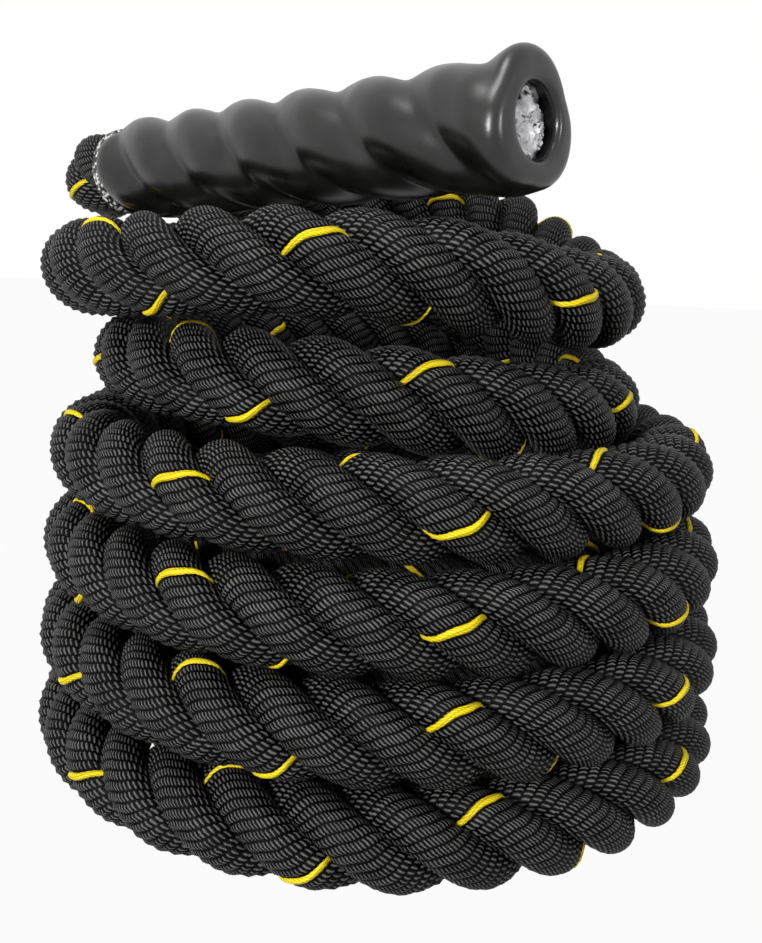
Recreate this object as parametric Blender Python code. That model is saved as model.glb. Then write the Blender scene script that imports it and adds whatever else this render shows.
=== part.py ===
"""Battle rope: a thick three-strand rope in a round coil, with a shrink-sleeved grip at each end.

Metres, +Z up. The coil stands on the floor, the top grip lies across it from the far left to the
near right, and the other grip lies on the floor close behind the coil.
"""
from math import cos, pi, radians, sin

import bmesh
import bpy
from mathutils import Matrix, Vector

# Rope
rope_d = 0.050                    # over the strands' crests
turn_gap = 0.0010                 # between turns that lie on or beside each other
clearance = 0.0003                # between pieces that touch

# Coil: seen from above the rope runs clockwise as it goes down. A turn runs from the right past the
# front and the left to the back, and goes about level round the front. Turns 0 to 2, 4, 5 and 8 are those
# seen from the front; 3, 6 and 7 lie inside, behind them.
coil_start_turn_share = -0.25     # at the back, where the top lead ends
coil_end_turn_share = 8.5         # at the left, where the floor lead starts
points_per_turn = 24
# How many turns lie below each stretch: a pair of places marks a step down behind
level_shares = (
    (-0.26, 6.0), (0.04, 4.78), (0.06, 4.78), (0.25, 5.07), (0.44, 4.92), (0.56, 4.92), (0.70, 5.0),
    (0.73, 5.0), (1.00, 3.64), (1.03, 3.64), (1.36, 3.98), (1.71, 4.0), (1.97, 3.0), (2.81, 3.0),
    (3.09, 2.0), (4.67, 2.0), (4.95, 1.0), (6.52, 1.0), (6.77, 0.0),
)
# The radius of each stretch in rope diameters
radius_shares = (
    (-0.32, 2.92), (-0.09, 2.90), (0.69, 2.90), (0.99, 2.64), (1.61, 2.64), (1.84, 3.30),
    (2.58, 3.30), (2.85, 2.32), (3.74, 2.32), (4.00, 3.42), (4.64, 3.42), (4.96, 3.49),
    (5.61, 3.49), (5.85, 2.42), (7.46, 2.42), (7.70, 3.52),
)
# How far the top turns sit to the left of the lower ones, in rope diameters
sideways_shares = (
    (-0.25, -0.50), (0.60, -0.46), (0.95, -0.18), (1.55, -0.18), (1.85, 0.00), (3.00, 0.00), (5.00, 0.06),
)
flat_share = 0.1                  # of the rope's diameter, flattened where the coil stands

# Grips: a shrink sleeve over the rope's last stretch
sleeve_length = 0.284
core_r = 0.0215                   # the rope pressed together under the film
sleeve_wall = 0.0015              # the film's least thickness, in the valleys between strands
sleeve_lobe_depth = 0.0053        # from a strand's crest to the valley beside it
sleeve_crest_r = core_r + clearance + sleeve_wall + sleeve_lobe_depth
sleeve_lay = 0.1310               # the strands are laid longer under the film
sleeve_first_crest = 0.0157       # from the rope end to the first crest on the upper side
lip_flare = 0.0034
sleeve_lip_r = sleeve_crest_r + lip_flare
sleeve_lip_length = 0.034         # the stretch that widens to the lip
sleeve_lip_round = 0.007
mouth_lap = 0.0045                # how far the rolled film covers the wrapped end's rim
sleeve_mouth_r = core_r - mouth_lap
sleeve_tail_round = 0.003
end_recess = 0.0065               # from the lip's face to the wrapped rope end
end_wrap_length = 0.010
end_wrap_dome = 0.0025
neck_length = 0.008               # the bound stretch that shows between the sleeve and the rope
neck_wall = 0.0030
sleeve_sides = 30
sleeve_ring_step = 0.0095
plain_sides = 24

# Where the top grip lies: its rope end and its open end, in rope diameters from the coil's axis
top_grip_rope_end_shares = (-3.06, 0.55)
top_grip_open_end_shares = (1.19, -3.22)
left_rest_turn = 0.5              # where the top turn carries the grip's rope end
front_rest_turn = 0.19            # and where it carries the grip near its open end
top_grip_rise_share = 0.20        # the grip leans up this much more than its two rests
top_grip_seat = 0.0012            # between the sleeve and the turns that it lies on

# Where the floor grip lies, in rope diameters from the coil's axis
floor_grip_rope_end_shares = (-1.35, 4.78)
floor_grip_open_end_shares = (4.32, 4.78)

# Routes of the two leads, in rope diameters from the coil's axis and above the floor
top_lead_shares = (
    (-3.61, 1.32, 6.48), (-3.55, 1.85, 6.49), (-3.26, 2.37, 6.51), (-2.80, 2.72, 6.52), (-2.22, 2.89, 6.52),
)
floor_lead_shares = (
    (-3.44, 2.00, 0.40), (-3.34, 2.85, 0.42), (-2.98, 3.75, 0.47), (-2.40, 4.42, 0.51),
)
lead_spacing = 0.030


def ease(x):
    """An S of two even arcs, from 0 to 1."""
    x = min(max(x, 0.0), 1.0)
    return 2.0 * x * x if x < 0.5 else 1.0 - 2.0 * (1.0 - x) ** 2


def along(stations, turn):
    """The value at a turn, eased between the stations beside it."""
    if turn <= stations[0][0]:
        return stations[0][1]
    for (turn_a, value_a), (turn_b, value_b) in zip(stations, stations[1:]):
        if turn <= turn_b:
            return value_a + (value_b - value_a) * ease((turn - turn_a) / (turn_b - turn_a))
    return stations[-1][1]


def coil_point(turn):
    """A point on the middle of the coiled rope."""
    angle = -2.0 * pi * turn
    radius = along(radius_shares, turn) * rope_d
    sideways = along(sideways_shares, turn) * rope_d
    floor_height = rope_d / 2.0 - flat_share * rope_d
    height = floor_height + along(level_shares, turn) * (rope_d + turn_gap)
    return Vector((sideways + radius * cos(angle), radius * sin(angle), height))


def coil_points():
    """The coil's points, with a straight stretch one rope thick at each end."""
    count = round((coil_end_turn_share - coil_start_turn_share) * points_per_turn)
    turns = [coil_start_turn_share + i / points_per_turn for i in range(count + 1)]
    points = [coil_point(turn) for turn in turns]
    first_way = (points[0] - points[1]).normalized()
    last_way = (points[-1] - points[-2]).normalized()
    return [points[0] + first_way * rope_d] + points + [points[-1] + last_way * rope_d]


def least_gap(points):
    """The least distance between stretches of the coil that aren't neighbours, less one thickness."""
    fine = []
    for a, b in zip(points, points[1:]):
        fine += [a.lerp(b, share / 4.0) for share in range(4)]
    apart = 4 * (points_per_turn // 4)
    least = min((p - q).length for i, p in enumerate(fine) for q in fine[i + apart:])
    return least - rope_d


def grip_frame(rope_end, open_end):
    """A matrix whose origin is a grip's rope end and whose +Z runs to its open end."""
    way = (open_end - rope_end).normalized()
    across = Vector((0.0, 0.0, 1.0)).cross(way).normalized()
    up = way.cross(across)
    frame = Matrix((across, up, way)).transposed().to_4x4()
    frame.translation = rope_end
    return frame


def top_grip_frame():
    """The top grip rests on the left and the front of the top turn."""
    left_height = coil_point(left_rest_turn).z
    height = left_height + rope_d / 2.0 + sleeve_crest_r + top_grip_seat
    rise = coil_point(front_rest_turn).z - left_height + top_grip_rise_share * rope_d
    rope_end = Vector([share * rope_d for share in top_grip_rope_end_shares] + [height])
    open_end = Vector([share * rope_d for share in top_grip_open_end_shares] + [height + rise])
    return grip_frame(rope_end, open_end)


def floor_grip_frame():
    """The floor grip rests on the strands' crests."""
    rope_end = Vector([share * rope_d for share in floor_grip_rope_end_shares] + [sleeve_crest_r + clearance])
    open_end = Vector([share * rope_d for share in floor_grip_open_end_shares] + [sleeve_lip_r + clearance])
    return grip_frame(rope_end, open_end)


def curve_through(route, spacing):
    """Evenly spaced points on a smooth curve through a route's own points."""
    ends = [route[0] * 2.0 - route[1]] + list(route) + [route[-1] * 2.0 - route[-2]]
    dense = []
    steps = 24
    for a, b, c, d in zip(ends, ends[1:], ends[2:], ends[3:]):
        for step in range(steps):
            s = step / steps
            dense.append((b * 2.0 + (c - a) * s + (a * 2.0 - b * 5.0 + c * 4.0 - d) * s ** 2
                          + (b * 3.0 - a - c * 3.0 + d) * s ** 3) / 2.0)
    dense.append(route[-1])
    lengths = [0.0]
    for a, b in zip(dense, dense[1:]):
        lengths.append(lengths[-1] + (b - a).length)
    count = max(round(lengths[-1] / spacing), 2)
    points = []
    place = 0
    for i in range(count + 1):
        wanted = lengths[-1] * i / count
        while place < len(lengths) - 2 and lengths[place + 1] < wanted:
            place += 1
        share = (wanted - lengths[place]) / (lengths[place + 1] - lengths[place])
        points.append(dense[place].lerp(dense[place + 1], min(max(share, 0.0), 1.0)))
    return points


def path_length(points):
    return sum((b - a).length for a, b in zip(points, points[1:]))


def material(name, color, roughness, metallic=0.0):
    made = bpy.data.materials.new(name)
    made.use_nodes = True
    shader = made.node_tree.nodes["Principled BSDF"]
    shader.inputs["Base Color"].default_value = (*color, 1.0)
    shader.inputs["Roughness"].default_value = roughness
    shader.inputs["Metallic"].default_value = metallic
    return made


def add_object(name, mesh, finish, frame=None):
    thing = bpy.data.objects.new(name, mesh)
    bpy.context.collection.objects.link(thing)
    mesh.materials.append(finish)
    if frame is not None:
        thing.matrix_world = frame
    return thing


def rope_tube(name, points, resolution, finish):
    """A plain round tube with filled caps along the points, as a mesh."""
    curve = bpy.data.curves.new(name + "_route", "CURVE")
    curve.dimensions = "3D"
    curve.twist_mode = "Z_UP"
    curve.bevel_depth = rope_d / 2.0
    curve.bevel_resolution = resolution
    curve.use_fill_caps = True
    spline = curve.splines.new("POLY")
    spline.points.add(len(points) - 1)
    for place, point in zip(spline.points, points):
        place.co = (*point, 1.0)
    guide = bpy.data.objects.new(name + "_guide", curve)
    bpy.context.collection.objects.link(guide)
    shape = bpy.context.evaluated_depsgraph_get()
    mesh = bpy.data.meshes.new_from_object(guide.evaluated_get(shape))
    bpy.data.objects.remove(guide)
    mesh.materials.clear()
    joined = bmesh.new()
    joined.from_mesh(mesh)
    bmesh.ops.remove_doubles(joined, verts=joined.verts, dist=clearance / 10.0)
    bmesh.ops.recalc_face_normals(joined, faces=joined.faces)
    joined.to_mesh(mesh)
    joined.free()
    mesh.shade_smooth()
    mesh.set_sharp_from_angle(angle=radians(70.0))
    return add_object(name, mesh, finish)


def floor_cutter():
    """A wide block under the floor's surface."""
    reach = coil_point(0.0).length * 4.0
    block = bmesh.new()
    bmesh.ops.create_cube(block, size=1.0)
    bmesh.ops.scale(block, vec=(reach, reach, rope_d), verts=block.verts)
    bmesh.ops.translate(block, vec=(0.0, 0.0, -rope_d / 2.0), verts=block.verts)
    mesh = bpy.data.meshes.new("floor_cutter")
    block.to_mesh(mesh)
    block.free()
    cutter = bpy.data.objects.new("floor_cutter", mesh)
    bpy.context.collection.objects.link(cutter)
    cutter.hide_render = True
    cutter.display_type = "WIRE"
    return cutter


def cut_flat(rope, cutter):
    """Cuts a rope flat where it stands on the floor."""
    cut = rope.modifiers.new("flat", "BOOLEAN")
    cut.operation = "DIFFERENCE"
    cut.solver = "EXACT"
    cut.object = cutter


def bridge(shape, ring_a, ring_b):
    """Joins two rings of the same count with faces."""
    count = len(ring_a)
    for i in range(count):
        j = (i + 1) % count
        shape.faces.new((ring_a[i], ring_a[j], ring_b[j], ring_b[i]))


def ring(shape, radii, height):
    """One ring of points, a radius for each."""
    count = len(radii)
    return [shape.verts.new((r * cos(2.0 * pi * i / count), r * sin(2.0 * pi * i / count), height))
            for i, r in enumerate(radii)]


def finish_mesh(name, shape):
    bmesh.ops.recalc_face_normals(shape, faces=shape.faces)
    mesh = bpy.data.meshes.new(name)
    shape.to_mesh(mesh)
    shape.free()
    mesh.shade_smooth()
    mesh.set_sharp_from_angle(angle=radians(50.0))
    return mesh


def turned(name, profile, closed, finish, frame):
    """A turned piece: a closed profile gives a ring, an open one is filled at both ends."""
    shape = bmesh.new()
    rings = [ring(shape, [radius] * plain_sides, height) for radius, height in profile]
    for ring_a, ring_b in zip(rings, rings[1:]):
        bridge(shape, ring_a, ring_b)
    if closed:
        bridge(shape, rings[-1], rings[0])
    else:
        shape.faces.new(rings[0])
        shape.faces.new(rings[-1])
    return add_object(name, finish_mesh(name, shape), finish, frame)


def lobed_radii(crest, depth, height):
    """A sleeve ring's radii: three strands show through the film and wind with their lay."""
    radii = []
    for i in range(sleeve_sides):
        angle = 2.0 * pi * (i / sleeve_sides - 0.25 - (height - sleeve_first_crest) / sleeve_lay)
        radii.append(crest - depth * (1.0 - abs(cos(1.5 * angle))))
    return radii


def sleeve_rings():
    """The sleeve's outline, outside from the rope end to the lip, then back along the bore."""
    bore_r = core_r + clearance
    tail_r = (bore_r + sleeve_crest_r) / 2.0
    body_start = sleeve_tail_round * 2.0
    body_end = sleeve_length - sleeve_lip_round
    rings = [([tail_r] * sleeve_sides, 0.0)]
    count = round((body_end - body_start) / sleeve_ring_step)
    for i in range(count + 1):
        height = body_start + (body_end - body_start) * i / count
        widened = ease((height - sleeve_length + sleeve_lip_length) / (sleeve_lip_length - sleeve_lip_round))
        crest = sleeve_crest_r + (sleeve_lip_r - sleeve_crest_r) * widened
        rings.append((lobed_radii(crest, sleeve_lobe_depth, height), height))
    for turn_share in (0.4, 0.75, 1.0):
        angle = turn_share * pi / 2.0
        height = body_end + sleeve_lip_round * sin(angle)
        inwards = sleeve_lip_round * (1.0 - cos(angle))
        rings.append(([r - inwards for r in lobed_radii(sleeve_lip_r, sleeve_lobe_depth, body_end)], height))
    mouth_edge = sleeve_length - sleeve_lip_round / 2.0
    rings.append(([sleeve_mouth_r] * sleeve_sides, mouth_edge))
    rings.append(([sleeve_mouth_r] * sleeve_sides, sleeve_length - end_recess + clearance * 2.0))
    rings.append(([bore_r] * sleeve_sides, sleeve_length - end_recess + clearance))
    rings.append(([bore_r] * sleeve_sides, 0.0))
    return rings


def grip_sleeve(name, frame, finish):
    """The heat-shrunk sleeve with its rolled, open end."""
    shape = bmesh.new()
    rings = [ring(shape, radii, height) for radii, height in sleeve_rings()]
    for ring_a, ring_b in zip(rings, rings[1:] + rings[:1]):
        bridge(shape, ring_a, ring_b)
    return add_object(name, finish_mesh(name, shape), finish, frame)


def rope_core(name, frame, finish):
    """The rope inside the sleeve and its neck, up to its wrapped end."""
    top = sleeve_length - end_recess - end_wrap_length - clearance
    profile = ((core_r, -neck_length), (core_r, top))
    return turned(name, profile, False, finish, frame)


def end_wrap(name, frame, finish):
    """The taped cut end of the rope, just inside the sleeve's mouth."""
    face = sleeve_length - end_recess
    foot = face - end_wrap_length
    shoulder = face - end_wrap_dome
    profile = ((core_r, foot), (core_r, shoulder), (core_r * 0.82, face - end_wrap_dome / 4.0),
               (core_r * 0.4, face))
    return turned(name, profile, False, finish, frame)


def neck_binding(name, frame, finish):
    """The binding round the rope where it enters the sleeve."""
    inner = core_r + clearance
    profile = ((inner, -neck_length), (inner, -clearance), (inner + neck_wall, -clearance),
               (inner + neck_wall, -neck_length))
    return turned(name, profile, True, finish, frame)


def add_grip(place, frame, finishes):
    grip_sleeve("grip_sleeve_" + place, frame, finishes["sleeve"])
    rope_core("rope_core_" + place, frame, finishes["rope"])
    end_wrap("end_wrap_" + place, frame, finishes["wrap"])
    neck_binding("neck_binding_" + place, frame, finishes["binding"])


def neck_point(frame, away):
    """A point on a grip's axis, outside its neck by the given length."""
    return frame @ Vector((0.0, 0.0, -neck_length - away))


def lead_points(start, start_way, shares, end, end_way):
    """A lead's points: straight for a little at each end, smooth through its own points between."""
    straight = rope_d / 2.0
    route = [start + start_way * straight]
    route += [Vector(share) * rope_d for share in shares]
    route += [end - end_way * straight]
    return [start] + curve_through(route, lead_spacing) + [end]


def centre_on_floor(things):
    """Moves everything so that the origin is the middle of the box's underside."""
    bpy.context.view_layer.update()
    shape = bpy.context.evaluated_depsgraph_get()
    corners = []
    for thing in things:
        ready = thing.evaluated_get(shape)
        mesh = ready.to_mesh()
        corners += [thing.matrix_world @ vertex.co for vertex in mesh.vertices]
        ready.to_mesh_clear()
    low = Vector([min(corner[axis] for corner in corners) for axis in range(3)])
    high = Vector([max(corner[axis] for corner in corners) for axis in range(3)])
    shift = Vector((-(low.x + high.x) / 2.0, -(low.y + high.y) / 2.0, -low.z))
    for thing in bpy.data.objects:
        thing.matrix_world = Matrix.Translation(shift) @ thing.matrix_world
    print("coil axis moved by", [round(value, 6) for value in shift])
    print("box size", [round(value, 4) for value in high - low])


def main():
    for thing in list(bpy.data.objects):
        bpy.data.objects.remove(thing)
    finishes = {
        "rope": material("black_rope", (0.012, 0.012, 0.013), 0.62),
        "sleeve": material("satin_sleeve", (0.014, 0.014, 0.015), 0.34),
        "wrap": material("end_tape", (0.72, 0.72, 0.75), 0.30),
        "binding": material("neck_tape", (0.30, 0.30, 0.30), 0.55),
    }
    coil = coil_points()
    cutter = floor_cutter()
    cut_flat(rope_tube("rope_coil", coil, 1, finishes["rope"]), cutter)

    top = top_grip_frame()
    floor = floor_grip_frame()
    coil_first_way = (coil[1] - coil[0]).normalized()
    coil_last_way = (coil[-1] - coil[-2]).normalized()
    top_way = -(top.to_3x3() @ Vector((0.0, 0.0, 1.0)))
    floor_way = floor.to_3x3() @ Vector((0.0, 0.0, 1.0))
    top_lead = lead_points(neck_point(top, clearance), top_way, top_lead_shares,
                           coil[0] - coil_first_way * clearance, coil_first_way)
    floor_lead = lead_points(coil[-1] + coil_last_way * clearance, coil_last_way, floor_lead_shares,
                             neck_point(floor, clearance), floor_way)
    rope_tube("rope_lead_top", top_lead, 3, finishes["rope"])
    cut_flat(rope_tube("rope_lead_floor", floor_lead, 3, finishes["rope"]), cutter)
    add_grip("top", top, finishes)
    add_grip("floor", floor, finishes)

    gripped = sleeve_length - end_recess + neck_length
    length = path_length(coil) + path_length(top_lead) + path_length(floor_lead) + 2.0 * gripped
    print("least gap between turns, mm", round(least_gap(coil) * 1000.0, 2))
    print("rope length, m", round(length, 3))
    centre_on_floor([thing for thing in bpy.data.objects if not thing.hide_render])


main()
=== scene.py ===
"""Battle rope: looks for a coiled three-strand training rope with a shrink-sleeved grip at each end."""
from math import cos, pi, radians, sin

import bmesh
import bpy
import numpy as np
from mathutils import Matrix, Vector


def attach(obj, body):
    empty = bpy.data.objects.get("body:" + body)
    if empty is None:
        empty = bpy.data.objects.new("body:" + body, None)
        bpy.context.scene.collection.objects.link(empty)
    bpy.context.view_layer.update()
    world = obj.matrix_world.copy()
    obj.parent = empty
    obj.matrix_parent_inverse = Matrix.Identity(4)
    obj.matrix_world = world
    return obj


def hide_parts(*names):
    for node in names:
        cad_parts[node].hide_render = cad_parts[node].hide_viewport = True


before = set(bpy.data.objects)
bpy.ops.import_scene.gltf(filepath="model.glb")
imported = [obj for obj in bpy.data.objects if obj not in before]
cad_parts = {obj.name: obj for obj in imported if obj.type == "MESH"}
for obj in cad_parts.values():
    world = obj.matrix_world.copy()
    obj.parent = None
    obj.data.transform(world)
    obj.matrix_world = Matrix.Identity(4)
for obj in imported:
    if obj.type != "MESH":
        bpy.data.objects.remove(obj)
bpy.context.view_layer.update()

# Rope and coil, as in the solids. Only a hidden turn's sag from 2.53 to 2.80 and the step at 4.70 differ
rope_d = 0.050
turn_gap = 0.0010
clearance = 0.0003
coil_axis = Vector((-0.004546, -0.034306, 0.0))     # the coil's middle here, as in the solids
coil_start_turn_share = -0.25
coil_end_turn_share = 8.5
# The hidden steps' places come from a search, the radii and sideways places from a fit to the
# photograph; some steps and the levels round the front were then moved
level_shares = (
    (-0.26, 6.0), (0.04, 4.78), (0.06, 4.78), (0.25, 5.07), (0.44, 4.92), (0.56, 4.92), (0.70, 5.0),
    (0.73, 5.0), (1.00, 3.64), (1.03, 3.64), (1.36, 3.98), (1.71, 4.0), (1.97, 3.0), (2.53, 3.0),
    (2.61, 2.90), (2.71, 2.90), (2.80, 3.0), (2.81, 3.0), (3.09, 2.0), (4.70, 2.0), (4.95, 1.0),
    (6.52, 1.0), (6.77, 0.0),
)
radius_shares = (
    (-0.32, 2.92), (-0.09, 2.90), (0.69, 2.90), (0.99, 2.64), (1.61, 2.64), (1.84, 3.30),
    (2.58, 3.30), (2.85, 2.32), (3.74, 2.32), (4.00, 3.42), (4.64, 3.42), (4.96, 3.49),
    (5.61, 3.49), (5.85, 2.42), (7.46, 2.42), (7.70, 3.52),
)
sideways_shares = (
    (-0.25, -0.50), (0.60, -0.46), (0.95, -0.18), (1.55, -0.18), (1.85, 0.00), (3.00, 0.00), (5.00, 0.06),
)
flat_share = 0.1
points_per_turn = 120
coil_overrun_turn = 0.05          # the turn that the coil's straight ends count as
before_coil_turn = -1.0
after_coil_turn = 9.0
curve_steps = 24                  # from one point of a lead's route to the next
same_point = 1e-7                 # points nearer than this count as one

# Grips, as in the solids
sleeve_length = 0.284
sleeve_crest_r = 0.0286
sleeve_lobe_depth = 0.0053
sleeve_lip_r = 0.0320
sleeve_bore_r = 0.0218
sleeve_lip_length = 0.034
sleeve_lip_round = 0.007
# A line fitted to the crests seen in the photograph gives the next two
sleeve_lay = 0.1310
sleeve_first_crest = 0.0157
sleeve_sides = 60
sleeve_steps = 110                # rings along the wound film
lobe_rounding = 0.04              # softens the crest that the film has over each strand
same_ring_share = 0.4             # of a ring step: how near a point lies to the ring that it belongs to
sleeve_tail_shares = (0.905, 0.955, 0.985)      # of the radius, at the rope end's first three rings
lip_turn_shares = (0.3, 0.6, 0.85, 1.0)         # of a quarter turn, from the sleeve's side to its face
# The lip's face and the mouth: radius, height past the lip's face, how round the film has become
mouth_rings = (
    (0.0205, 0.0004, 0.35), (0.0175, 0.0002, 0.7), (0.0162, -0.0008, 0.9), (0.0156, -0.0024, 1.0),
    (0.0156, -0.0046, 1.0),
)
mouth_depth = 0.0055
film_unevenness = 0.0010
film_unevenness_width = 0.020
core_r = 0.0215
end_recess = 0.0065
end_wrap_length = 0.010
neck_length = 0.008
wrap_r = 0.0194
wrap_flatness = 0.30
wrap_sink = 0.0050                # of the wrap's middle below the rope's cut end
strand_end_place_r = 0.0095       # the strands' cut ends bulge under the tape
strand_end_r = 0.0062
strand_end_swell = 1.45
crumple_width = 0.0048
crumple_height = 0.0075
crumple_level = 0.62
twine_r = 0.00125
twine_sides = 12
twine_turns = 3
twine_pitch_share = 1.9           # of the twine's radius, so that its turns overlap a little
twine_steps = 64
twine_gap = 0.0016                # from the pressed rope to the twine's middle
twine_start = -0.0070
# The top grip's ends lie between two results of a fit to the photograph
top_grip_rope_end_shares = (-3.06, 0.55)
top_grip_open_end_shares = (1.19, -3.22)
left_rest_turn = 0.5
front_rest_turn = 0.19
top_grip_rise_share = 0.20
top_grip_seat = 0.0012
floor_grip_rope_end_shares = (-1.35, 4.78)
floor_grip_open_end_shares = (4.32, 4.78)
top_lead_shares = (
    (-3.61, 1.32, 6.48), (-3.55, 1.85, 6.49), (-3.26, 2.37, 6.51), (-2.80, 2.72, 6.52), (-2.22, 2.89, 6.52),
)
floor_lead_shares = (
    (-3.44, 2.00, 0.40), (-3.34, 2.85, 0.42), (-2.98, 3.75, 0.47), (-2.40, 4.42, 0.51),
)

# Strands and yarns
rope_lay = 0.110                  # one strand's full turn along the rope
strand_r = 0.242 * rope_d
strand_wide_r = 0.285 * rope_d    # the strands press each other wider round the rope
strand_centre_r = 0.258 * rope_d
yarns_around = 13
yarn_slowing = 0.11               # yarns run flatter over a strand's outer and inner face
yarn_profile = (0.0, 1.0)         # depth of a yarn's columns of points: its crest, then its groove
yarn_depth = 0.0011               # from a yarn's crest to the groove beside it
yarn_turns_per_lay = 2.75         # of a yarn round its strand, against the strand's own way
tracer_width = 0.0042
# The marker yarn's outline: places across it in half widths, heights in yarn depths
tracer_outline = ((-1.0, -0.9), (-0.62, 0.20), (0.0, 0.50), (0.62, 0.20), (1.0, -0.9), (0.0, -1.6))
fine_step = 0.0027                # between rings where the rope is seen
coarse_step = 0.010
fine_blend = 8.0                  # route points over which one step eases into the other
route_step = 0.002
route_rounding = 0.25 * rope_d    # how far the route's corners are rounded
inner_turns = ((2.90, 3.70), (5.88, 7.42))      # hidden inside the coil
sleeve_cover = 0.035              # the last of the rope under a sleeve that still has fine rings
pressed_share = 0.84              # of the rope's thickness that is left under a sleeve
press_length = 0.55 * rope_d      # over which the rope swells to its full thickness
hidden_swell = 0.10               # share of thickness that the turns gain behind, where the coil hides them
hidden_swell_reach = 1.5          # above 1, the fuller stretch reaches further round to the sides
front_reach = 0.27                # of a turn to each side of a front, where the lay is even
# How far round the first strand and its marker yarn are, in turns, where each seen turn faces front:
# values of a fit to the photograph
strand_front_shares = (
    (0.25, 0.020), (1.25, 0.405), (2.25, 0.260), (4.25, 0.314), (5.25, 0.445), (8.25, 0.640),
)
tracer_front_shares = (
    (0.25, 0.812), (1.25, 0.690), (2.25, 0.790), (4.25, 0.765), (5.25, 0.855), (8.25, 0.250),
)


def ease(x):
    x = min(max(x, 0.0), 1.0)
    return 2.0 * x * x if x < 0.5 else 1.0 - 2.0 * (1.0 - x) ** 2


def along(stations, turn):
    if turn <= stations[0][0]:
        return stations[0][1]
    for (turn_a, value_a), (turn_b, value_b) in zip(stations, stations[1:]):
        if turn <= turn_b:
            return value_a + (value_b - value_a) * ease((turn - turn_a) / (turn_b - turn_a))
    return stations[-1][1]


def coil_point(turn):
    angle = -2.0 * pi * turn
    radius = along(radius_shares, turn) * rope_d
    sideways = along(sideways_shares, turn) * rope_d
    height = rope_d / 2.0 - flat_share * rope_d + along(level_shares, turn) * (rope_d + turn_gap)
    return Vector((sideways + radius * cos(angle), radius * sin(angle), height))


def grip_frame(rope_end, open_end):
    """A matrix whose origin is a grip's rope end and whose +Z runs to its open end."""
    way = (open_end - rope_end).normalized()
    across = Vector((0.0, 0.0, 1.0)).cross(way).normalized()
    up = way.cross(across)
    placed = Matrix((across, up, way)).transposed().to_4x4()
    placed.translation = rope_end + coil_axis
    return placed


def top_grip_frame():
    left_height = coil_point(left_rest_turn).z
    height = left_height + rope_d / 2.0 + sleeve_crest_r + top_grip_seat
    rise = coil_point(front_rest_turn).z - left_height + top_grip_rise_share * rope_d
    rope_end = Vector([share * rope_d for share in top_grip_rope_end_shares] + [height])
    open_end = Vector([share * rope_d for share in top_grip_open_end_shares] + [height + rise])
    return grip_frame(rope_end, open_end)


def floor_grip_frame():
    crest_height = sleeve_crest_r + clearance
    lip_height = sleeve_lip_r + clearance
    rope_end = Vector([share * rope_d for share in floor_grip_rope_end_shares] + [crest_height])
    open_end = Vector([share * rope_d for share in floor_grip_open_end_shares] + [lip_height])
    return grip_frame(rope_end, open_end)


def curve_through(route):
    """Dense points on a smooth curve through a route's own points."""
    ends = [route[0] * 2.0 - route[1]] + list(route) + [route[-1] * 2.0 - route[-2]]
    dense = []
    for a, b, c, d in zip(ends, ends[1:], ends[2:], ends[3:]):
        for step in range(curve_steps):
            s = step / curve_steps
            dense.append((b * 2.0 + (c - a) * s + (a * 2.0 - b * 5.0 + c * 4.0 - d) * s ** 2
                          + (b * 3.0 - a - c * 3.0 + d) * s ** 3) / 2.0)
    dense.append(route[-1])
    return dense


def lead_points(start, start_way, shares, end, end_way):
    straight = rope_d / 2.0
    route = [start + start_way * straight]
    route += [Vector(share) * rope_d + coil_axis for share in shares]
    route += [end - end_way * straight]
    return [start] + curve_through(route) + [end]


def rope_route():
    """The rope's middle from the top grip's wrapped end to the floor grip's, and each point's turn."""
    count = round((coil_end_turn_share - coil_start_turn_share) * points_per_turn)
    turns = [coil_start_turn_share + i / points_per_turn for i in range(count + 1)]
    coil = [coil_point(turn) + coil_axis for turn in turns]
    first_way = (coil[0] - coil[1]).normalized()
    last_way = (coil[-1] - coil[-2]).normalized()
    coil = [coil[0] + first_way * rope_d] + coil + [coil[-1] + last_way * rope_d]
    turns = [turns[0] - coil_overrun_turn] + turns + [turns[-1] + coil_overrun_turn]
    top = top_grip_frame()
    floor = floor_grip_frame()
    top_way = -top.col[2].to_3d()
    floor_way = floor.col[2].to_3d()
    depth = sleeve_length - end_recess - end_wrap_length
    top_end = top @ Vector((0.0, 0.0, depth))
    top_neck = top @ Vector((0.0, 0.0, -neck_length))
    floor_end = floor @ Vector((0.0, 0.0, depth))
    floor_neck = floor @ Vector((0.0, 0.0, -neck_length))
    top_lead = lead_points(top_neck, top_way, top_lead_shares, coil[0], -first_way)
    floor_lead = lead_points(coil[-1], last_way, floor_lead_shares, floor_neck, floor_way)
    before = [top_end] + top_lead[:-1]
    after = floor_lead[1:] + [floor_end]
    points = before + coil + after
    places = [before_coil_turn] * len(before) + turns + [after_coil_turn] * len(after)
    return np.array([tuple(p) for p in points]), np.array(places)


def smoothed(values, reach):
    """Values at even places, with each run of about the given number of places averaged."""
    half = int(reach * 3)
    weights = np.exp(-0.5 * (np.arange(-half, half + 1) / reach) ** 2)
    weights /= weights.sum()
    head = 2.0 * values[0] - values[half:0:-1]
    tail = 2.0 * values[-1] - values[-2:-half - 2:-1]
    longer = np.concatenate([head, values, tail])
    columns = [np.convolve(longer[:, axis], weights, mode="valid") for axis in range(values.shape[1])]
    return np.stack(columns, 1)


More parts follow.
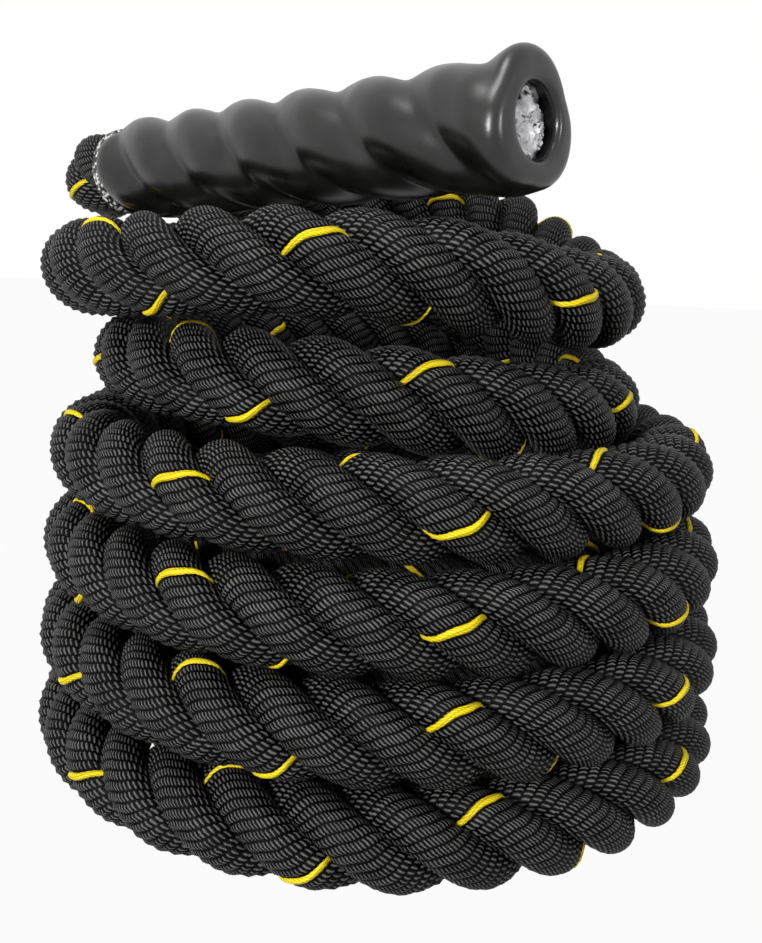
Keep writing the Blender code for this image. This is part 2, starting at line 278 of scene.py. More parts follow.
def rope_rings():
    """Where the rope's rings are: distance along it, middle, outward way, upward way, turn, fineness."""
    points, places = rope_route()
    lengths = np.concatenate([[0.0], np.cumsum(np.linalg.norm(np.diff(points, axis=0), axis=1))])
    keep = np.concatenate([[True], np.diff(lengths) > same_point])
    points, places, lengths = points[keep], places[keep], lengths[keep]
    even = np.arange(0.0, lengths[-1], route_step)
    middle = np.stack([np.interp(even, lengths, points[:, axis]) for axis in range(3)], 1)
    middle = smoothed(middle, route_rounding / route_step)
    turn = np.interp(even, lengths, places)
    length = np.concatenate([[0.0], np.cumsum(np.linalg.norm(np.diff(middle, axis=0), axis=1))])
    plain = (length < sleeve_length - sleeve_cover) | (length > length[-1] - sleeve_length + sleeve_cover)
    for first, last in inner_turns:
        plain |= (turn > first) & (turn < last)
    fine = smoothed(np.where(plain, 0.0, 1.0)[:, None], fine_blend)[:, 0]
    step = coarse_step + (fine_step - coarse_step) * fine
    count = np.concatenate([[0.0], np.cumsum(np.diff(length) / step[1:])])
    rings = round(count[-1])
    at = np.interp(np.linspace(0.0, count[-1], rings + 1), count, length)
    middle_at = np.stack([np.interp(at, length, middle[:, axis]) for axis in range(3)], 1)
    way = np.gradient(middle, length, axis=0)
    way_at = np.stack([np.interp(at, length, way[:, axis]) for axis in range(3)], 1)
    way_at /= np.linalg.norm(way_at, axis=1)[:, None]
    side = np.cross(np.array([0.0, 0.0, 1.0]), way_at)
    side /= np.linalg.norm(side, axis=1)[:, None]
    up = np.cross(way_at, side)
    return at, middle_at, side, up, np.interp(at, length, turn), np.interp(at, length, fine)


def tube_mesh(name, rings, distance, first_u, grooved):
    """A closed tube over rings of points. UV: the place round the tube, in yarns, and the distance."""
    count, around, _ = rings.shape
    points = np.concatenate([rings.reshape(-1, 3), rings[0].mean(0)[None], rings[-1].mean(0)[None]])
    first, last = count * around, count * around + 1
    i = np.arange(around)
    j = (i + 1) % around
    base = (np.arange(count - 1) * around)[:, None]
    quads = np.stack([base + i, base + around + i, base + around + j, base + j], 2).reshape(-1, 4)
    end_base = (count - 1) * around
    caps_a = np.stack([np.full(around, first), i, j], 1)
    caps_b = np.stack([np.full(around, last), end_base + j, end_base + i], 1)
    corners = np.concatenate([quads.ravel(), caps_a.ravel(), caps_b.ravel()])
    totals = np.concatenate([np.full(len(quads), 4), np.full(2 * around, 3)])
    starts = np.concatenate([[0], np.cumsum(totals)[:-1]])
    mesh = bpy.data.meshes.new(name)
    mesh.vertices.add(len(points))
    mesh.vertices.foreach_set("co", points.astype(np.float32).ravel())
    mesh.loops.add(len(corners))
    mesh.loops.foreach_set("vertex_index", corners.astype(np.int32))
    mesh.polygons.add(len(totals))
    mesh.polygons.foreach_set("loop_start", starts.astype(np.int32))
    mesh.update(calc_edges=True)
    per_yarn = len(yarn_profile)
    across = first_u + np.stack([i, i, i + 1, i + 1], 1) / per_yarn
    u = np.broadcast_to(across, (count - 1, around, 4))
    v = np.stack([distance[:-1], distance[1:], distance[1:], distance[:-1]], 1)
    v = np.broadcast_to(v[:, None, :], (count - 1, around, 4))
    quad_uv = np.stack([u, v], 3).reshape(-1, 2)
    cap_u = first_u + np.stack([i + 0.5, i, i + 1], 1).ravel() / per_yarn
    cap_a = np.stack([cap_u, np.full(3 * around, distance[0])], 1)
    cap_b = np.stack([cap_u, np.full(3 * around, distance[-1])], 1)
    layer = mesh.uv_layers.new(name="yarns")
    layer.data.foreach_set("uv", np.concatenate([quad_uv, cap_a, cap_b]).astype(np.float32).ravel())
    if grooved:
        ends = np.empty(len(mesh.edges) * 2, dtype=np.int32)
        mesh.edges.foreach_get("vertices", ends)
        ends = ends.reshape(-1, 2)
        groove = (ends[:, 0] < first) & (ends[:, 1] < first)
        groove &= (ends[:, 0] % around == ends[:, 1] % around) & (ends[:, 0] % per_yarn == per_yarn // 2)
        sharp = mesh.attributes.new("sharp_edge", "BOOLEAN", "EDGE")
        sharp.data.foreach_set("value", groove)
    piece = bpy.data.objects.new(name, mesh)
    bpy.context.collection.objects.link(piece)
    return piece


distance, middle, outward, upward, turn, fine = rope_rings()
rope_length = float(distance[-1])
print("rope length, m", round(rope_length, 3), "rings", len(distance))

# Inside a sleeve the rope is pressed thinner
sleeve_from_end = np.minimum(distance, rope_length - distance)
gripped = sleeve_length - end_recess - end_wrap_length + neck_length
swelling = np.clip((sleeve_from_end - gripped) / press_length, 0.0, 1.0)
thickness = pressed_share + (1.0 - pressed_share) * swelling * swelling * (3.0 - 2.0 * swelling)
# Behind, where the coil hides them, the turns lie fuller and close the chinks between them
thickness *= 1.0 + hidden_swell * np.clip(-hidden_swell_reach * np.sin(2.0 * pi * turn), 0.0, 1.0)


def in_step(turns, fronts):
    """Eases a count of turns along the rope so that it has the given fraction at each front."""
    places, shifts = [], []
    for front, share in fronts:
        place = float(np.interp(front, turn, distance))
        shift = share - float(np.interp(place, distance, turns))
        shift -= round(shift - (shifts[-1] if shifts else 0.0))
        for side in (-front_reach, front_reach):
            places.append(float(np.interp(front + side, turn, distance)))
        shifts += [shift, shift]
    return turns + np.interp(distance, places, shifts)


strand_angle = 2.0 * pi * in_step(distance / rope_lay, strand_front_shares)
yarned_length = np.concatenate([[0.0], np.cumsum(np.diff(distance) * fine[1:])])
yarn_turns = yarned_length * yarn_turns_per_lay / rope_lay
yarn_angle = -2.0 * pi * in_step(yarn_turns, tracer_front_shares)


def strand_centre(place):
    """A strand's middle along the rope, and its ways outwards from the rope's middle and round it."""
    psi = strand_angle + place * 2.0 * pi / 3.0
    radial = np.cos(psi)[:, None] * outward + np.sin(psi)[:, None] * upward
    around_way = -np.sin(psi)[:, None] * outward + np.cos(psi)[:, None] * upward
    return middle + (strand_centre_r * thickness)[:, None] * radial, radial, around_way


def strand(letter, place):
    """One of the rope's three strands, with its twisted yarns."""
    centre, radial, around_way = strand_centre(place)
    columns = len(yarn_profile) * yarns_around
    phi = 2.0 * pi * np.arange(columns)[None, :] / columns + yarn_angle[:, None]
    phi = phi - yarn_slowing * np.sin(2.0 * phi)
    sunk = np.tile(yarn_profile, yarns_around)[None, :] * (yarn_depth * fine)[:, None]
    deep = ((strand_r * thickness)[:, None] - sunk) * np.cos(phi)
    wide = ((strand_wide_r * thickness)[:, None] - sunk) * np.sin(phi)
    rings = centre[:, None, :] + deep[:, :, None] * radial[:, None, :]
    rings = rings + wide[:, :, None] * around_way[:, None, :]
    rings[:, :, 2] = np.maximum(rings[:, :, 2], 0.0)
    return tube_mesh("strand_" + letter, rings, distance, 0.0, True)


def tracer():
    """The marker yarn: it takes the first yarn's place in the first strand."""
    centre, radial, around_way = strand_centre(0)
    phi = yarn_angle - yarn_slowing * np.sin(2.0 * yarn_angle)
    on_surface = centre + (strand_r * thickness * np.cos(phi))[:, None] * radial + (
        strand_wide_r * thickness * np.sin(phi))[:, None] * around_way
    over = (-strand_r * np.sin(phi))[:, None] * radial + (strand_wide_r * np.cos(phi))[:, None] * around_way
    over /= np.linalg.norm(over, axis=1)[:, None]
    out = (strand_wide_r * np.cos(phi))[:, None] * radial + (strand_r * np.sin(phi))[:, None] * around_way
    out /= np.linalg.norm(out, axis=1)[:, None]
    half_width = tracer_width / 2.0
    rings = []
    for across, lift in tracer_outline:
        sideways = (across * half_width * thickness)[:, None] * over
        rings.append(on_surface + (lift * yarn_depth) * out + sideways)
    rings = np.stack(rings, 1)
    rings[:, :, 2] = np.maximum(rings[:, :, 2], 0.0)
    return tube_mesh("tracer_yarn", rings, distance, -0.5, False)


strands = [strand("a", 0), strand("b", 1), strand("c", 2)]
tracer_yarn = tracer()


def start_piece(name):
    """Takes the primitive that was just added as a new piece and opens it for modelling."""
    piece = bpy.context.object
    piece.name = name
    piece.data.name = name
    bpy.ops.object.mode_set(mode="EDIT")
    bpy.ops.mesh.select_mode(type="VERT")
    return piece


def pick(piece, wanted):
    """Selects the points that a test accepts, in edit mode."""
    shape = bmesh.from_edit_mesh(piece.data)
    for vertex in shape.verts:
        vertex.select_set(False)
    for vertex in shape.verts:
        if wanted(vertex.co):
            vertex.select_set(True)
    shape.select_flush_mode()
    bmesh.update_edit_mesh(piece.data)


def grow(x, y, z, centre):
    bpy.ops.transform.resize(value=(x, y, z), center_override=centre)


def extrude_up(height):
    bpy.ops.mesh.extrude_region_move(TRANSFORM_OT_translate={"value": (0.0, 0.0, height)})


def finish_modifier(piece, name, kind, settings):
    """Adds a modifier, sets it and applies it."""
    modifier = piece.modifiers.new(name, kind)
    for key, value in settings.items():
        setattr(modifier, key, value)
    bpy.ops.object.modifier_apply(modifier=name)


def place_piece(piece, placed):
    piece.matrix_world = placed
    bpy.ops.object.transform_apply(location=True, rotation=True, scale=True)


def placed_copy(piece, name, placed):
    """A second piece of the same form with its own mesh, in another place."""
    copy = piece.copy()
    copy.data = piece.data.copy()
    copy.name = name
    copy.data.name = name
    bpy.context.collection.objects.link(copy)
    bpy.ops.object.select_all(action="DESELECT")
    copy.select_set(True)
    bpy.context.view_layer.objects.active = copy
    place_piece(copy, placed)
    return copy


def lobe_share(step):
    """How deep into the valley between two strands a point of the sleeve's outline lies, from 0 to 1."""
    ridge = abs(cos(1.5 * radians(360.0 / sleeve_sides * step)))
    return 1.0 - (ridge * ridge + lobe_rounding) ** 0.5 / (1.0 + lobe_rounding) ** 0.5


def side_number(co):
    """Which of the sleeve's sides a point of its outline lies at, counted round its axis."""
    return round(np.degrees(np.arctan2(co.y, co.x)) / (360.0 / sleeve_sides))


def lobed_tube(name, body):
    """Film drawn over three strands and wound along the sleeve's axis, before its ends are shaped."""
    bpy.ops.mesh.primitive_circle_add(vertices=sleeve_sides, radius=sleeve_crest_r)
    sleeve = start_piece(name)
    sides_per_lobe = sleeve_sides // 3
    for step in range(1, sides_per_lobe // 2 + 1):
        pick(sleeve, lambda co: min(side_number(co) % sides_per_lobe,
                                    -side_number(co) % sides_per_lobe) == step)
        inwards = 1.0 - sleeve_lobe_depth / sleeve_crest_r * lobe_share(step)
        grow(inwards, inwards, 1.0, (0.0, 0.0, 0.0))
    bpy.ops.object.mode_set(mode="OBJECT")
    finish_modifier(sleeve, "wound", "SCREW", {
        "axis": "Z", "angle": 2.0 * pi * body / sleeve_lay, "screw_offset": body, "iterations": 1,
        "steps": sleeve_steps, "render_steps": sleeve_steps, "use_normal_calculate": True})
    sleeve.rotation_euler = (0.0, 0.0, pi / 2.0 - 2.0 * pi * sleeve_first_crest / sleeve_lay)
    bpy.ops.object.transform_apply(location=True, rotation=True, scale=True)
    return sleeve


def shape_film_ends(sleeve, ring_step, near):
    """The open end widens to its lip, and the cut edge at the rope end thins over a few millimetres."""
    widest = sleeve_lip_r / sleeve_crest_r
    for ring in range(sleeve_steps + 1):
        height = ring * ring_step
        widened = ease((height - sleeve_length + sleeve_lip_length) / (sleeve_lip_length - sleeve_lip_round))
        if widened > 0.0:
            pick(sleeve, lambda co: abs(co.z - height) < near)
            wider = 1.0 + (widest - 1.0) * widened
            grow(wider, wider, 1.0, (0.0, 0.0, height))
    for ring, share in enumerate(sleeve_tail_shares):
        pick(sleeve, lambda co: abs(co.z - ring * ring_step) < near)
        grow(share, share, 1.0, (0.0, 0.0, ring * ring_step))


def draw_on(rings, reach, height):
    """Draws the picked edge on through rings of reach and height, and says where it ends."""
    for wanted_reach, wanted_height in rings:
        extrude_up(wanted_height - height)
        grow(wanted_reach / reach, wanted_reach / reach, 1.0, (0.0, 0.0, wanted_height))
        reach, height = wanted_reach, wanted_height
    return reach, height


def gather_mouth(sleeve, reach, height):
    """The film gathers from the strands' three lobes to a round mouth."""
    for wanted_reach, past_face, roundness in mouth_rings:
        extrude_up(sleeve_length + past_face - height)
        height = sleeve_length + past_face
        shape = bmesh.from_edit_mesh(sleeve.data)
        for vertex in [v for v in shape.verts if v.select]:
            away = (vertex.co.x ** 2 + vertex.co.y ** 2) ** 0.5
            factor = wanted_reach / away * roundness + wanted_reach / reach * (1.0 - roundness)
            vertex.co.x *= factor
            vertex.co.y *= factor
        bmesh.update_edit_mesh(sleeve.data)
        reach = wanted_reach
    return reach, height


def shrink_sleeve(name):
    """The film sleeve on its own axis: rope end at 0, open end up. Three strands show through it."""
    bpy.ops.object.select_all(action="DESELECT")
    body = sleeve_length - sleeve_lip_round
    ring_step = body / sleeve_steps
    near = ring_step * same_ring_share
    sleeve = lobed_tube(name, body)
    bpy.ops.object.mode_set(mode="EDIT")
    bpy.ops.mesh.select_mode(type="VERT")
    shape_film_ends(sleeve, ring_step, near)
    # The rolled lip, the mouth and the bore
    pick(sleeve, lambda co: abs(co.z - body) < near)
    lip = []
    for turn_share in lip_turn_shares:
        angle = turn_share * pi / 2.0
        wanted_reach = sleeve_lip_r - sleeve_lip_round * (1.0 - cos(angle))
        lip.append((wanted_reach, body + sleeve_lip_round * sin(angle)))
    reach, height = draw_on(lip, sleeve_lip_r, body)
    reach, height = gather_mouth(sleeve, reach, height)
    draw_on(((sleeve_bore_r, sleeve_length - mouth_depth), (sleeve_bore_r, 0.0)), reach, height)
    pick(sleeve, lambda co: abs(co.z) < near / 4.0)
    bpy.ops.mesh.bridge_edge_loops()
    bpy.ops.mesh.select_all(action="SELECT")
    bpy.ops.mesh.remove_doubles(threshold=0.00001)
    bpy.ops.mesh.normals_make_consistent(inside=False)
    bpy.ops.object.mode_set(mode="OBJECT")
    # The film lies a little unevenly over the yarns
    uneven = bpy.data.textures.new("film_unevenness", "CLOUDS")
    uneven.noise_scale = film_unevenness_width
    finish_modifier(sleeve, "uneven", "DISPLACE", {
        "texture": uneven, "texture_coords": "LOCAL", "strength": film_unevenness, "mid_level": 0.5})
    finish_modifier(sleeve, "smooth", "SUBSURF", {"levels": 1, "render_levels": 1})
    bpy.ops.object.shade_smooth()
    return sleeve


def wrapped_end(name):
    """The rope's cut end in crumpled tape, on the grip's axis."""
    bpy.ops.object.select_all(action="DESELECT")
    bpy.ops.mesh.primitive_uv_sphere_add(segments=64, ring_count=40, radius=wrap_r)
    wrap = start_piece(name)
    bpy.ops.mesh.select_all(action="SELECT")
    grow(1.0, 1.0, wrap_flatness, (0.0, 0.0, 0.0))
    # Three strand ends bulge under the tape
    for number in range(3):
        angle = 2.0 * pi * number / 3.0 + pi / 2.0
        x, y = strand_end_place_r * cos(angle), strand_end_place_r * sin(angle)
        pick(wrap, lambda co: co.z > 0.0 and ((co.x - x) ** 2 + (co.y - y) ** 2) ** 0.5 < strand_end_r)
        grow(1.0, 1.0, strand_end_swell, (x, y, 0.0))
    bpy.ops.object.mode_set(mode="OBJECT")
    finish_modifier(wrap, "denser", "SUBSURF", {"levels": 1, "render_levels": 1})
    crumple = bpy.data.textures.new("tape_crumple", "CLOUDS")
    crumple.noise_scale = crumple_width
    crumple.noise_depth = 3
    finish_modifier(wrap, "crumpled", "DISPLACE", {
        "texture": crumple, "texture_coords": "LOCAL", "strength": crumple_height,
        "mid_level": crumple_level, "direction": "Z"})
    bpy.ops.object.shade_smooth()
    wrap.location = (0.0, 0.0, sleeve_length - end_recess - wrap_sink)
    bpy.ops.object.transform_apply(location=True, rotation=True, scale=True)
    return wrap


def whipping(name):
    """Twine wound tightly round the rope where it enters the sleeve."""
    bpy.ops.object.select_all(action="DESELECT")
    bpy.ops.mesh.primitive_circle_add(
        vertices=twine_sides, radius=twine_r, rotation=(pi / 2.0, 0.0, 0.0))
    twine = start_piece(name)
    bpy.ops.mesh.select_all(action="SELECT")
    bpy.ops.transform.translate(value=(core_r + twine_gap, 0.0, 0.0))
    bpy.ops.object.mode_set(mode="OBJECT")
    bpy.ops.object.transform_apply(location=True, rotation=True, scale=True)
    finish_modifier(twine, "wound", "SCREW", {
        "axis": "Z", "angle": 2.0 * pi, "screw_offset": twine_r * twine_pitch_share,
        "iterations": twine_turns, "steps": twine_steps, "render_steps": twine_steps,
        "use_normal_calculate": True})
    bpy.ops.object.mode_set(mode="EDIT")
    bpy.ops.mesh.select_mode(type="EDGE")
    bpy.ops.mesh.select_all(action="DESELECT")
    bpy.ops.mesh.select_non_manifold()
    bpy.ops.mesh.edge_face_add()
    bpy.ops.mesh.select_all(action="SELECT")
    bpy.ops.mesh.normals_make_consistent(inside=False)
    bpy.ops.object.mode_set(mode="OBJECT")
    bpy.ops.object.shade_smooth()
    twine.location = (0.0, 0.0, twine_start)
    bpy.ops.object.transform_apply(location=True, rotation=True, scale=True)
    return twine


top_placed, floor_placed = top_grip_frame(), floor_grip_frame()
grip_pieces = {}
for kind, model in (("sleeve", shrink_sleeve), ("wrapped_end", wrapped_end), ("whipping", whipping)):
    first = model("top_" + kind)
    grip_pieces["floor_" + kind] = placed_copy(first, "floor_" + kind, floor_placed)
    bpy.ops.object.select_all(action="DESELECT")
    first.select_set(True)
    bpy.context.view_layer.objects.active = first
    place_piece(first, top_placed)
    grip_pieces["top_" + kind] = first


# Materials

ply_spacing = 0.0015              # from one ply mark to the next along the rope
ply_lean = 2.5                    # marks that one mark leans across over a yarn's width
golden_share = 0.618              # spreads the marks' starts evenly over the yarns
own_start_marks = 5.0
black_yarn_bump_depth = 0.00066
marker_yarn_bump_depth = 0.00051


def linear(hex_code):
    """A colour's sRGB hex code as linear values with alpha."""
    values = [int(hex_code[i:i + 2], 16) / 255.0 for i in (1, 3, 5)]
    return tuple(v / 12.92 if v <= 0.04045 else ((v + 0.055) / 1.055) ** 2.4 for v in values) + (1.0,)


def add_node(tree, kind, settings=None, values=None, links=None):
    """Adds a node, sets its properties and inputs, and links other nodes' outputs into it."""
    node = tree.nodes.new(kind)
    for key, value in (settings or {}).items():
        setattr(node, key, value)
    for key, value in (values or {}).items():
        node.inputs[key].default_value = value
    for key, output in (links or {}).items():
        tree.links.new(output, node.inputs[key])
    return node


def new_material(name):
    made = bpy.data.materials.new(name)
    made.use_nodes = True
    return made, made.node_tree, made.node_tree.nodes["Principled BSDF"]


def ramp(tree, stops, factor):
    node = add_node(tree, "ShaderNodeValToRGB", links={"Fac": factor})
    points = node.color_ramp.elements
    while len(points) < len(stops):
        points.new(0.5)
    for point, (place, color) in zip(points, stops):
        point.position = place
        point.color = color
    return node


def maths(tree, operation, first, second=None):
    values, links = {}, {}
    for key, item in ((0, first), (1, second)):
        if item is None:
            continue
        if isinstance(item, (int, float)):
            values[key] = item
        else:
            links[key] = item
    return add_node(tree, "ShaderNodeMath", {"operation": operation}, values, links).outputs[0]


def noise(tree, place, scale, detail, distortion=0.0):
    return add_node(tree, "ShaderNodeTexNoise", links={"Vector": place}, values={
        "Scale": scale, "Detail": detail, "Distortion": distortion}).outputs["Fac"]


def object_place(tree):
    return add_node(tree, "ShaderNodeTexCoord").outputs["Object"]


def raise_surface(tree, shader, relief, strength, depth):
    bump = add_node(tree, "ShaderNodeBump", values={"Strength": strength, "Distance": depth},
                    links={"Height": relief})
    tree.links.new(bump.outputs["Normal"], shader.inputs["Normal"])


def yarn_profile_and_marks(tree, u, v):
    """How round a yarn's top is, its ply marks, and its number on the strand."""
    shifted = maths(tree, "ADD", u, 0.5)
    local = maths(tree, "SUBTRACT", maths(tree, "FRACT", shifted), 0.5)      # -0.5 to 0.5 across a yarn
    number = maths(tree, "FLOOR", shifted)
    edge = maths(tree, "MULTIPLY", maths(tree, "ABSOLUTE", local), 2.0)
    squared = maths(tree, "MULTIPLY", edge, edge)
    fourth = maths(tree, "MULTIPLY", squared, squared)
    round_top = maths(tree, "SUBTRACT", 1.0, maths(tree, "MULTIPLY", fourth, squared))
    along_rope = maths(tree, "DIVIDE", v, ply_spacing)
    marks = maths(tree, "SUBTRACT", along_rope, maths(tree, "MULTIPLY", local, ply_lean))
    # Each yarn's marks start at another place
    own_start = maths(tree, "FRACT", maths(tree, "MULTIPLY", number, golden_share))
    marks = maths(tree, "ADD", marks, maths(tree, "MULTIPLY", own_start, own_start_marks))
    wave = maths(tree, "ABSOLUTE", maths(tree, "SUBTRACT", maths(tree, "FRACT", marks), 0.5))
    wave = maths(tree, "SUBTRACT", 1.0, maths(tree, "MULTIPLY", wave, 2.0))
    return round_top, wave, number


def yarn_material(name, colors, roughness, shine, bump_depth):
    """Spun filament yarn: two plies twisted round each other, so fine slanted marks cross it."""
    made, tree, shader = new_material(name)
    place = add_node(tree, "ShaderNodeUVMap", {"uv_map": "yarns"})
    split = add_node(tree, "ShaderNodeSeparateXYZ", links={0: place.outputs[0]})
    u, v = split.outputs[0], split.outputs[1]
    round_top, wave, number = yarn_profile_and_marks(tree, u, v)
    fibres = add_node(tree, "ShaderNodeCombineXYZ", links={
        0: maths(tree, "MULTIPLY", u, 9.0), 1: maths(tree, "MULTIPLY", v, 900.0)})
    fuzz = noise(tree, fibres.outputs[0], 1.0, 2.0)
    tone_place = add_node(tree, "ShaderNodeCombineXYZ", links={
        0: number, 1: maths(tree, "MULTIPLY", v, 40.0)})
    tone = noise(tree, tone_place.outputs[0], 1.3, 2.0)
    ridges = maths(tree, "ADD", 0.45, maths(tree, "MULTIPLY", wave, 0.45))
    relief = maths(tree, "MULTIPLY", round_top, ridges)
    relief = maths(tree, "ADD", relief, maths(tree, "MULTIPLY", fuzz, 0.12))
    # Painted light: the colour is lightened along the ply marks on each yarn's rounded top (painted
    # highlight) and darkened towards the grooves and between the marks (painted shade)
    lit = maths(tree, "ADD", 0.19, maths(tree, "MULTIPLY", wave, 0.69))
    shade = maths(tree, "MULTIPLY", round_top, lit)
    for uneven, amount in ((fuzz, 0.45), (tone, 0.35)):
        change = maths(tree, "MULTIPLY", maths(tree, "SUBTRACT", uneven, 0.5), amount)
        shade = maths(tree, "ADD", shade, change)
    # The ramp runs from painted shade in the grooves, through the yarn's own colour, to a painted highlight
    # on the crests
    groove, body, crest_painted_highlight = [linear(hex_code) for hex_code in colors]
    color = ramp(tree, ((0.22, groove), (0.52, body), (0.92, crest_painted_highlight)), shade)
    tree.links.new(color.outputs["Color"], shader.inputs["Base Color"])
    raise_surface(tree, shader, relief, 0.9, bump_depth)
    shader.inputs["Roughness"].default_value = roughness
    shader.inputs["Specular IOR Level"].default_value = shine
    return made


def sleeve_film_material():
    """Heat-shrunk polyolefin tube: black, satin, drawn tight over the strands."""
    made, tree, shader = new_material("shrunk_polyolefin")
    place = object_place(tree)
    grain = noise(tree, place, 900.0, 3.0)
    smear = noise(tree, place, 60.0, 4.0)
    tint = ramp(tree, ((0.35, linear("#0E0E0D")), (0.7, linear("#1A1B19"))), smear)
    gloss = ramp(tree, ((0.3, (0.25, 0.25, 0.25, 1.0)), (0.75, (0.36, 0.36, 0.36, 1.0))), smear)
    tree.links.new(tint.outputs["Color"], shader.inputs["Base Color"])
    tree.links.new(gloss.outputs["Color"], shader.inputs["Roughness"])
    raise_surface(tree, shader, grain, 0.12, 0.0003)
    shader.inputs["Specular IOR Level"].default_value = 0.5
    return made


def end_tape_material():
    """Glossy white tape, crumpled: white facets, with painted shade making the creases between them dark."""
    made, tree, shader = new_material("crumpled_white_tape")
    place = object_place(tree)
    folds = noise(tree, place, 70.0, 2.0, 1.6)
    soft = noise(tree, place, 420.0, 2.0)
    fold = maths(tree, "ABSOLUTE", maths(tree, "SUBTRACT", folds, 0.5))
    crease_relief_and_painted_shade = maths(tree, "ADD", maths(tree, "MULTIPLY", fold, 6.0), maths(tree, "MULTIPLY", soft, 0.30))
    # Painted shade: the colour goes near black along the creases and stays white on the facets; the same
    # pattern also drives the bump
    tint = ramp(tree, ((0.19, linear("#0C0C0E")), (0.27, linear("#D4D4D8")), (0.36, linear("#FAFAFC"))), crease_relief_and_painted_shade)
    tree.links.new(tint.outputs["Color"], shader.inputs["Base Color"])
    raise_surface(tree, shader, crease_relief_and_painted_shade, 0.6, 0.0006)
    shader.inputs["Roughness"].default_value = 0.28
    return made


def twine_material():
    """Whipping twine of mixed black and white yarn: short pale flecks along the turns."""
    made, tree, shader = new_material("flecked_whipping_twine")
    flecks = noise(tree, object_place(tree), 380.0, 2.0)
    stops = ((0.47, linear("#121212")), (0.53, linear("#8C8C8A")), (0.60, linear("#E9E9E4")))
    tint = ramp(tree, stops, flecks)
    tree.links.new(tint.outputs["Color"], shader.inputs["Base Color"])
    raise_surface(tree, shader, flecks, 0.5, 0.0003)
    shader.inputs["Roughness"].default_value = 0.6
    return made


# Black polyester filament rope: black yarn with painted shade in the grooves; the dull silky shine on each
# yarn's crest is a painted highlight over a faint real gloss
black_polyester = yarn_material(
    "black_polyester_yarn", ("#000000", "#050505", "#717170"), 0.48, 0.06, black_yarn_bump_depth)
# Dyed polyester marker yarn: bright yellow, with painted shade between its plies and a painted highlight on
# its crests
yellow_polyester = yarn_material(
    "yellow_polyester_yarn", ("#D9B400", "#F6DE00", "#FFF22A"), 0.50, 0.3, marker_yarn_bump_depth)
shrunk_polyolefin = sleeve_film_material()
crumpled_tape = end_tape_material()
flecked_twine = twine_material()

for piece in strands:
    piece.data.materials.append(black_polyester)
tracer_yarn.data.materials.append(yellow_polyester)
for place in ("top", "floor"):
    for kind, finish, slot, node in (
            ("sleeve", shrunk_polyolefin, "satin_sleeve", "grip_sleeve_"),
            ("wrapped_end", crumpled_tape, "end_tape", "end_wrap_"),
            ("whipping", flecked_twine, "neck_tape", "neck_binding_")):
        piece = grip_pieces[place + "_" + kind]
        piece.data.materials.clear()
        piece.data.materials.append(finish)
        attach(piece, "root")
        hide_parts(node + place)

for piece in strands + [tracer_yarn]:
    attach(piece, "root")
for piece in strands:
    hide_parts("rope_coil", "rope_lead_top", "rope_lead_floor", "rope_core_top", "rope_core_floor")


# Floor, light and camera

white_light = (1.0, 1.0, 1.0, 1.0)


def greatest(tree, outputs):
    """The greatest of a node's outputs, such as whether a ray is of any of several kinds."""
    found = outputs[0]
    for output in outputs[1:]:
        found = maths(tree, "MAXIMUM", found, output)
    return found


def studio_floor():
    """A floor that looks white in the picture and in reflections, and throws little light at the rope."""
    bpy.ops.object.select_all(action="DESELECT")
    bpy.ops.mesh.primitive_plane_add(size=12.0, location=(0.0, 2.0, 0.0))
    made_floor = bpy.context.object
    made_floor.name = "studio_floor"
    made, tree, shader = new_material("white_studio_floor")
    shader.inputs["Base Color"].default_value = linear("#707070")
    shader.inputs["Roughness"].default_value = 0.9
    rays = add_node(tree, "ShaderNodeLightPath").outputs
    seen = greatest(tree, [rays["Is Camera Ray"], rays["Is Glossy Ray"]])
    white = add_node(tree, "ShaderNodeEmission", values={"Color": white_light, "Strength": 1.0})
    mixed = add_node(tree, "ShaderNodeMixShader", links={
        0: maths(tree, "MULTIPLY", seen, 0.96), 1: shader.outputs[0], 2: white.outputs[0]})
    tree.links.new(mixed.outputs[0], tree.nodes["Material Output"].inputs["Surface"])
    made_floor.data.materials.append(made)
    return made_floor


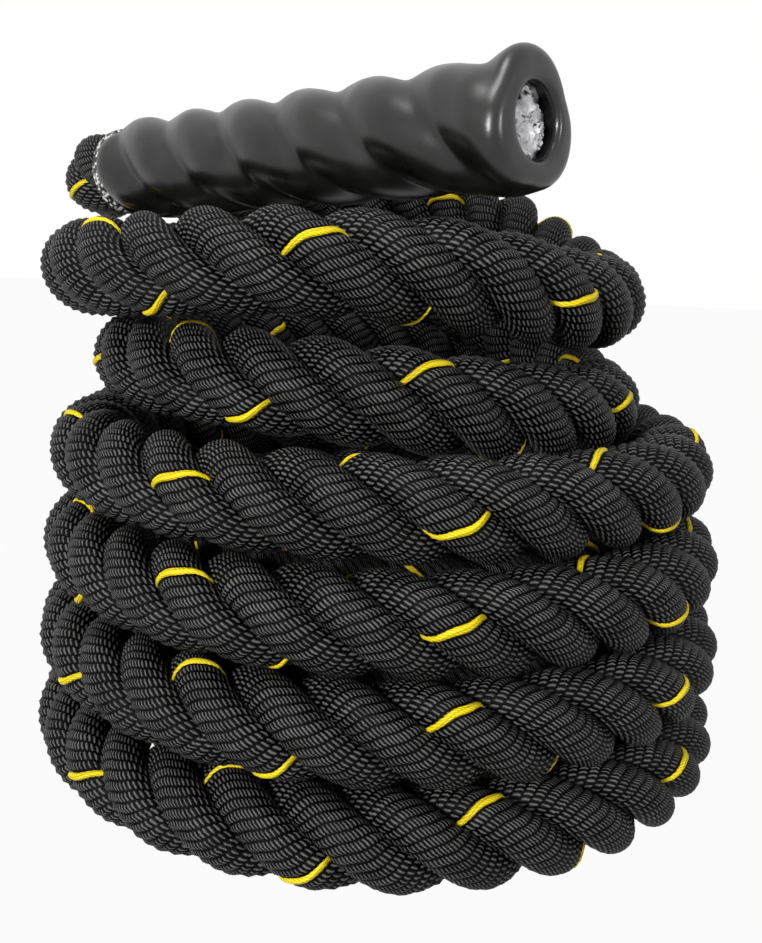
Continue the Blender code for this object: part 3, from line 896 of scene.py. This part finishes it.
def studio_world():
    """A white background that lights the rope only faintly."""
    world = bpy.data.worlds.new("studio")
    world.use_nodes = True
    tree = world.node_tree
    rays = add_node(tree, "ShaderNodeLightPath").outputs
    seen = greatest(tree, [rays["Is Camera Ray"], rays["Is Transmission Ray"], rays["Is Glossy Ray"]])
    faint = tree.nodes["Background"]
    faint.inputs["Color"].default_value = white_light
    faint.inputs["Strength"].default_value = 0.05
    white = add_node(tree, "ShaderNodeBackground", values={"Color": white_light, "Strength": 1.0})
    mixed = add_node(tree, "ShaderNodeMixShader", links={0: seen, 1: faint.outputs[0], 2: white.outputs[0]})
    tree.links.new(mixed.outputs[0], tree.nodes["World Output"].inputs["Surface"])
    return world


def soft_lamp(name, place, target, size, power):
    data = bpy.data.lights.new(name, "AREA")
    data.shape = "DISK"
    data.size = size
    data.energy = power
    lamp = bpy.data.objects.new(name, data)
    bpy.context.collection.objects.link(lamp)
    towards = (Vector(target) - Vector(place)).to_track_quat("-Z", "Y").to_matrix().to_4x4()
    lamp.matrix_world = Matrix.Translation(place) @ towards


def photo_camera():
    """The photograph's own view, as a fit of the coil's outlines gave it."""
    focal_px = 1060.9
    photo_height_px = 943.0
    sensor_mm = 36.0
    eye = Vector((-0.034, -12.437, 5.636)) * rope_d + coil_axis
    tilt, swing, roll = radians(11.38), radians(0.20), radians(2.46)
    forward = Vector((sin(swing) * cos(tilt), cos(swing) * cos(tilt), -sin(tilt)))
    level_right = forward.cross(Vector((0.0, 0.0, 1.0))).normalized()
    level_up = level_right.cross(forward)
    right = level_right * cos(roll) + level_up * sin(roll)
    up = level_up * cos(roll) - level_right * sin(roll)
    view = bpy.data.cameras.new("photo_view")
    view.lens = sensor_mm * focal_px / photo_height_px
    view.clip_start = 0.05
    camera = bpy.data.objects.new("photo_view", view)
    bpy.context.collection.objects.link(camera)
    turned = Matrix((right, up, -forward)).transposed().to_4x4()
    camera.matrix_world = Matrix.Translation(eye) @ turned
    return camera


floor = studio_floor()
scene = bpy.context.scene
scene.world = studio_world()
soft_lamp("overhead_softbox", Vector((-0.5, -0.6, 1.9)), (0.0, 0.0, 0.15), 0.7, 14.0)
soft_lamp("front_softbox", Vector((-0.8, -1.8, 0.65)), (0.0, 0.0, 0.15), 0.5, 36.0)
soft_lamp("side_softbox", Vector((1.5, -1.3, 0.75)), (0.0, 0.0, 0.25), 0.4, 10.0)
scene.camera = photo_camera()
scene.view_settings.view_transform = "Standard"
